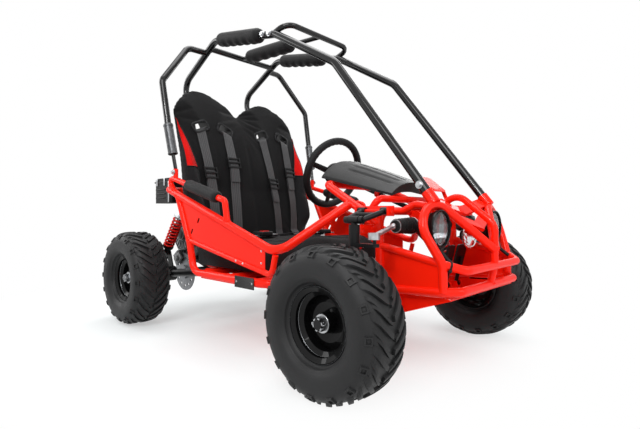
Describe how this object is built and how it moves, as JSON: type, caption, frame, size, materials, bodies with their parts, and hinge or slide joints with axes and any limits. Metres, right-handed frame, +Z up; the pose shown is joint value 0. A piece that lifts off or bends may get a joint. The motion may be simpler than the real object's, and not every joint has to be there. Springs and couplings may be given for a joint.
{
  "type": "off-road kart",
  "caption": "Two-seat off-road kart chassis: welded red tube frame with bolted roll cage, bench seat, front wishbones, rack steering and a rear swing arm carrying the engine.",
  "frame": {"origin": "on the ground below the middle of the kart's length and width", "axes": "+X forward, +Y to the driver's left, +Z up"},
  "size_m": [1.4402, 0.92, 1.1314],
  "materials": {
    "frame_red": "glossy red paint",
    "cage_black": "glossy black paint",
    "foam": "matt black foam",
    "zinc": "bright zinc",
    "seat_cover": "matt black vinyl with red inserts",
    "webbing": "woven black webbing",
    "moulding": "black moulded plastic",
    "lens": "clear",
    "casting": "dark cast metal",
    "bellows": "black rubber",
    "grip": "black foam grip",
    "running_gear": "satin black paint",
    "spring_red": "red coating",
    "rim_black": "glossy black paint",
    "tyre": "matt black rubber",
    "chain": "oiled steel"
  },
  "bodies": {
    "chassis": {"lower_frame": "frame_red", "side_frame_right": "frame_red", "side_frame_left": "frame_red", "front_frame": "frame_red", "dash_frame": "frame_red", "rear_frame": "frame_red", "floor_pan": "frame_red", "side_panels": "frame_red", "nose_panels": "frame_red", "cage_front": "cage_black", "cage_rear": "cage_black", "cage_braces": "cage_black", "foam_pads": "foam", "fasteners": "zinc", "seat_back": "seat_cover", "seat_base": "seat_cover", "harness_belts": "webbing", "harness_hardware": "moulding", "dash_cowl": "moulding", "headlight_shells": "moulding", "headlight_lenses": "lens", "horn": "moulding", "fuel_tank": "moulding", "rack_housing": "casting", "front_damper_rod_right": "zinc", "front_damper_rod_left": "zinc", "front_spring_right": "spring_red", "front_spring_left": "spring_red"},
    "rack": {"steering_rack": "bellows"},
    "steering": {"steering_wheel": "grip"},
    "throttle": {"throttle_pedal": "running_gear"},
    "brake": {"brake_pedal": "running_gear"},
    "upper_arm_right": {"upper_arm_right": "running_gear"},
    "lower_arm_right": {"lower_arm_right": "running_gear"},
    "upright_right": {"upright_right": "running_gear"},
    "knuckle_right": {"knuckle_right": "running_gear"},
    "tie_rod_right": {"tie_rod_right": "zinc"},
    "front_damper_right": {"front_damper_body_right": "running_gear"},
    "front_wheel_right": {"front_rim_right": "rim_black", "front_tyre_right": "tyre"},
    "upper_arm_left": {"upper_arm_left": "running_gear"},
    "lower_arm_left": {"lower_arm_left": "running_gear"},
    "upright_left": {"upright_left": "running_gear"},
    "knuckle_left": {"knuckle_left": "running_gear"},
    "tie_rod_left": {"tie_rod_left": "zinc"},
    "front_damper_left": {"front_damper_body_left": "running_gear"},
    "front_wheel_left": {"front_rim_left": "rim_black", "front_tyre_left": "tyre"},
    "swing_arm": {"swing_arm": "running_gear", "engine_block": "casting", "air_filter_box": "moulding", "muffler": "running_gear", "drive_chain": "chain"},
    "rear_axle": {"rear_axle": "zinc", "rear_sprocket": "zinc", "rear_rims": "rim_black", "rear_tyres": "tyre"},
    "rear_damper_rods": {"rear_damper_rods": "zinc", "rear_springs": "spring_red"},
    "rear_damper_bodies": {"rear_damper_bodies": "running_gear"}
  },
  "joints": [
    {"name": "steering_turn", "type": "hinge", "parent": "chassis", "child": "steering", "pos_m": [0.014, 0.15, 0.584], "axis": [-0.9304, 0.1021, 0.352], "range_deg": [-100, 100]},
    {"name": "rack_slide", "type": "slide", "parent": "chassis", "child": "rack", "axis": [0, 1, 0], "range_m": [-0.0215, 0.0215]},
    {"name": "bump_right", "type": "hinge", "parent": "chassis", "child": "lower_arm_right", "pos_m": [0.4895, -0.226, 0.172], "axis": [-1, 0, 0], "range_deg": [0, 15], "stiffness_Nm_per_rad": 60, "springref_deg": -31.51},
    {"name": "upper_arm_right_pivot", "type": "hinge", "parent": "chassis", "child": "upper_arm_right", "pos_m": [0.4895, -0.226, 0.431], "axis": [-1, 0, 0], "range_deg": [-1, 16]},
    {"name": "upright_right_pivot", "type": "hinge", "parent": "lower_arm_right", "child": "upright_right", "pos_m": [0.4895, -0.304, 0.15], "axis": [-1, 0, 0], "range_deg": [-16, 1]},
    {"name": "kingpin_right", "type": "hinge", "parent": "upright_right", "child": "knuckle_right", "pos_m": [0.4895, -0.304, 0.1775], "axis": [0, 0, 1], "range_deg": [-21, 21]},
    {"name": "front_wheel_right_spin", "type": "hinge", "parent": "knuckle_right", "child": "front_wheel_right", "pos_m": [0.4895, -0.391, 0.1775], "axis": [0, 1, 0], "continuous": true},
    {"name": "tie_rod_right_pivot", "type": "hinge", "parent": "rack", "child": "tie_rod_right", "pos_m": [0.5487, -0.226, 0.393], "axis": [-1, 0, 0], "range_deg": [-1, 16]},
    {"name": "front_damper_right_slide", "type": "slide", "parent": "chassis", "child": "front_damper_right", "axis": [0, 0.1871, 0.9823], "range_m": [-0.0005, 0.01466], "deforming": ["front_spring_right"]},
    {"name": "bump_left", "type": "hinge", "parent": "chassis", "child": "lower_arm_left", "pos_m": [0.4895, 0.226, 0.172], "axis": [1, 0, 0], "range_deg": [0, 15], "stiffness_Nm_per_rad": 60, "springref_deg": -31.51},
    {"name": "upper_arm_left_pivot", "type": "hinge", "parent": "chassis", "child": "upper_arm_left", "pos_m": [0.4895, 0.226, 0.431], "axis": [1, 0, 0], "range_deg": [-1, 16]},
    {"name": "upright_left_pivot", "type": "hinge", "parent": "lower_arm_left", "child": "upright_left", "pos_m": [0.4895, 0.304, 0.15], "axis": [1, 0, 0], "range_deg": [-16, 1]},
    {"name": "kingpin_left", "type": "hinge", "parent": "upright_left", "child": "knuckle_left", "pos_m": [0.4895, 0.304, 0.1775], "axis": [0, 0, 1], "range_deg": [-21, 21]},
    {"name": "front_wheel_left_spin", "type": "hinge", "parent": "knuckle_left", "child": "front_wheel_left", "pos_m": [0.4895, 0.391, 0.1775], "axis": [0, 1, 0], "continuous": true},
    {"name": "tie_rod_left_pivot", "type": "hinge", "parent": "rack", "child": "tie_rod_left", "pos_m": [0.5487, 0.226, 0.393], "axis": [1, 0, 0], "range_deg": [-1, 16]},
    {"name": "front_damper_left_slide", "type": "slide", "parent": "chassis", "child": "front_damper_left", "axis": [0, -0.1871, 0.9823], "range_m": [-0.0005, 0.01466], "deforming": ["front_spring_left"]},
    {"name": "swing_arm_pivot", "type": "hinge", "parent": "chassis", "child": "swing_arm", "pos_m": [-0.215, 0, 0.212], "axis": [0, 1, 0], "range_deg": [0, 7], "stiffness_Nm_per_rad": 700, "springref_deg": -28.65},
    {"name": "rear_axle_spin", "type": "hinge", "parent": "swing_arm", "child": "rear_axle", "pos_m": [-0.5425, 0, 0.1775], "axis": [0, 1, 0], "continuous": true},
    {"name": "rear_damper_pivot", "type": "hinge", "parent": "chassis", "child": "rear_damper_rods", "pos_m": [-0.427, 0, 0.453], "axis": [0, 1, 0], "range_deg": [-0.5, 6.01]},
    {"name": "rear_damper_slide", "type": "slide", "parent": "rear_damper_rods", "child": "rear_damper_bodies", "axis": [0.609, 0, 0.7932], "range_m": [-0.0005, 0.03927], "deforming": ["rear_springs"]},
    {"name": "throttle_press", "type": "hinge", "parent": "chassis", "child": "throttle", "pos_m": [0.52, 0.095, 0.206], "axis": [0, 1, 0], "range_deg": [0, 20], "stiffness_Nm_per_rad": 4, "springref_deg": -17.19},
    {"name": "brake_press", "type": "hinge", "parent": "chassis", "child": "brake", "pos_m": [0.52, 0.165, 0.206], "axis": [0, 1, 0], "range_deg": [0, 20], "stiffness_Nm_per_rad": 4, "springref_deg": -17.19}
  ],
  "couplings": [
    {"joint": "rack_slide", "follows": "steering_turn", "m_per_rad": 0.011954},
    {"joint": "upper_arm_right_pivot", "follows": "bump_right", "ratio": 1},
    {"joint": "upright_right_pivot", "follows": "bump_right", "ratio": -1},
    {"joint": "tie_rod_right_pivot", "follows": "bump_right", "ratio": 1},
    {"joint": "front_damper_right_slide", "follows": "bump_right", "m_per_rad": 0.054095},
    {"joint": "kingpin_right", "follows": "steering_turn", "ratio": 0.2},
    {"joint": "upper_arm_left_pivot", "follows": "bump_left", "ratio": 1},
    {"joint": "upright_left_pivot", "follows": "bump_left", "ratio": -1},
    {"joint": "tie_rod_left_pivot", "follows": "bump_left", "ratio": 1},
    {"joint": "front_damper_left_slide", "follows": "bump_left", "m_per_rad": 0.054095},
    {"joint": "kingpin_left", "follows": "steering_turn", "ratio": 0.2},
    {"joint": "rear_damper_pivot", "follows": "swing_arm_pivot", "ratio": 0.78674},
    {"joint": "rear_damper_slide", "follows": "swing_arm_pivot", "m_per_rad": 0.31737}
  ]
}
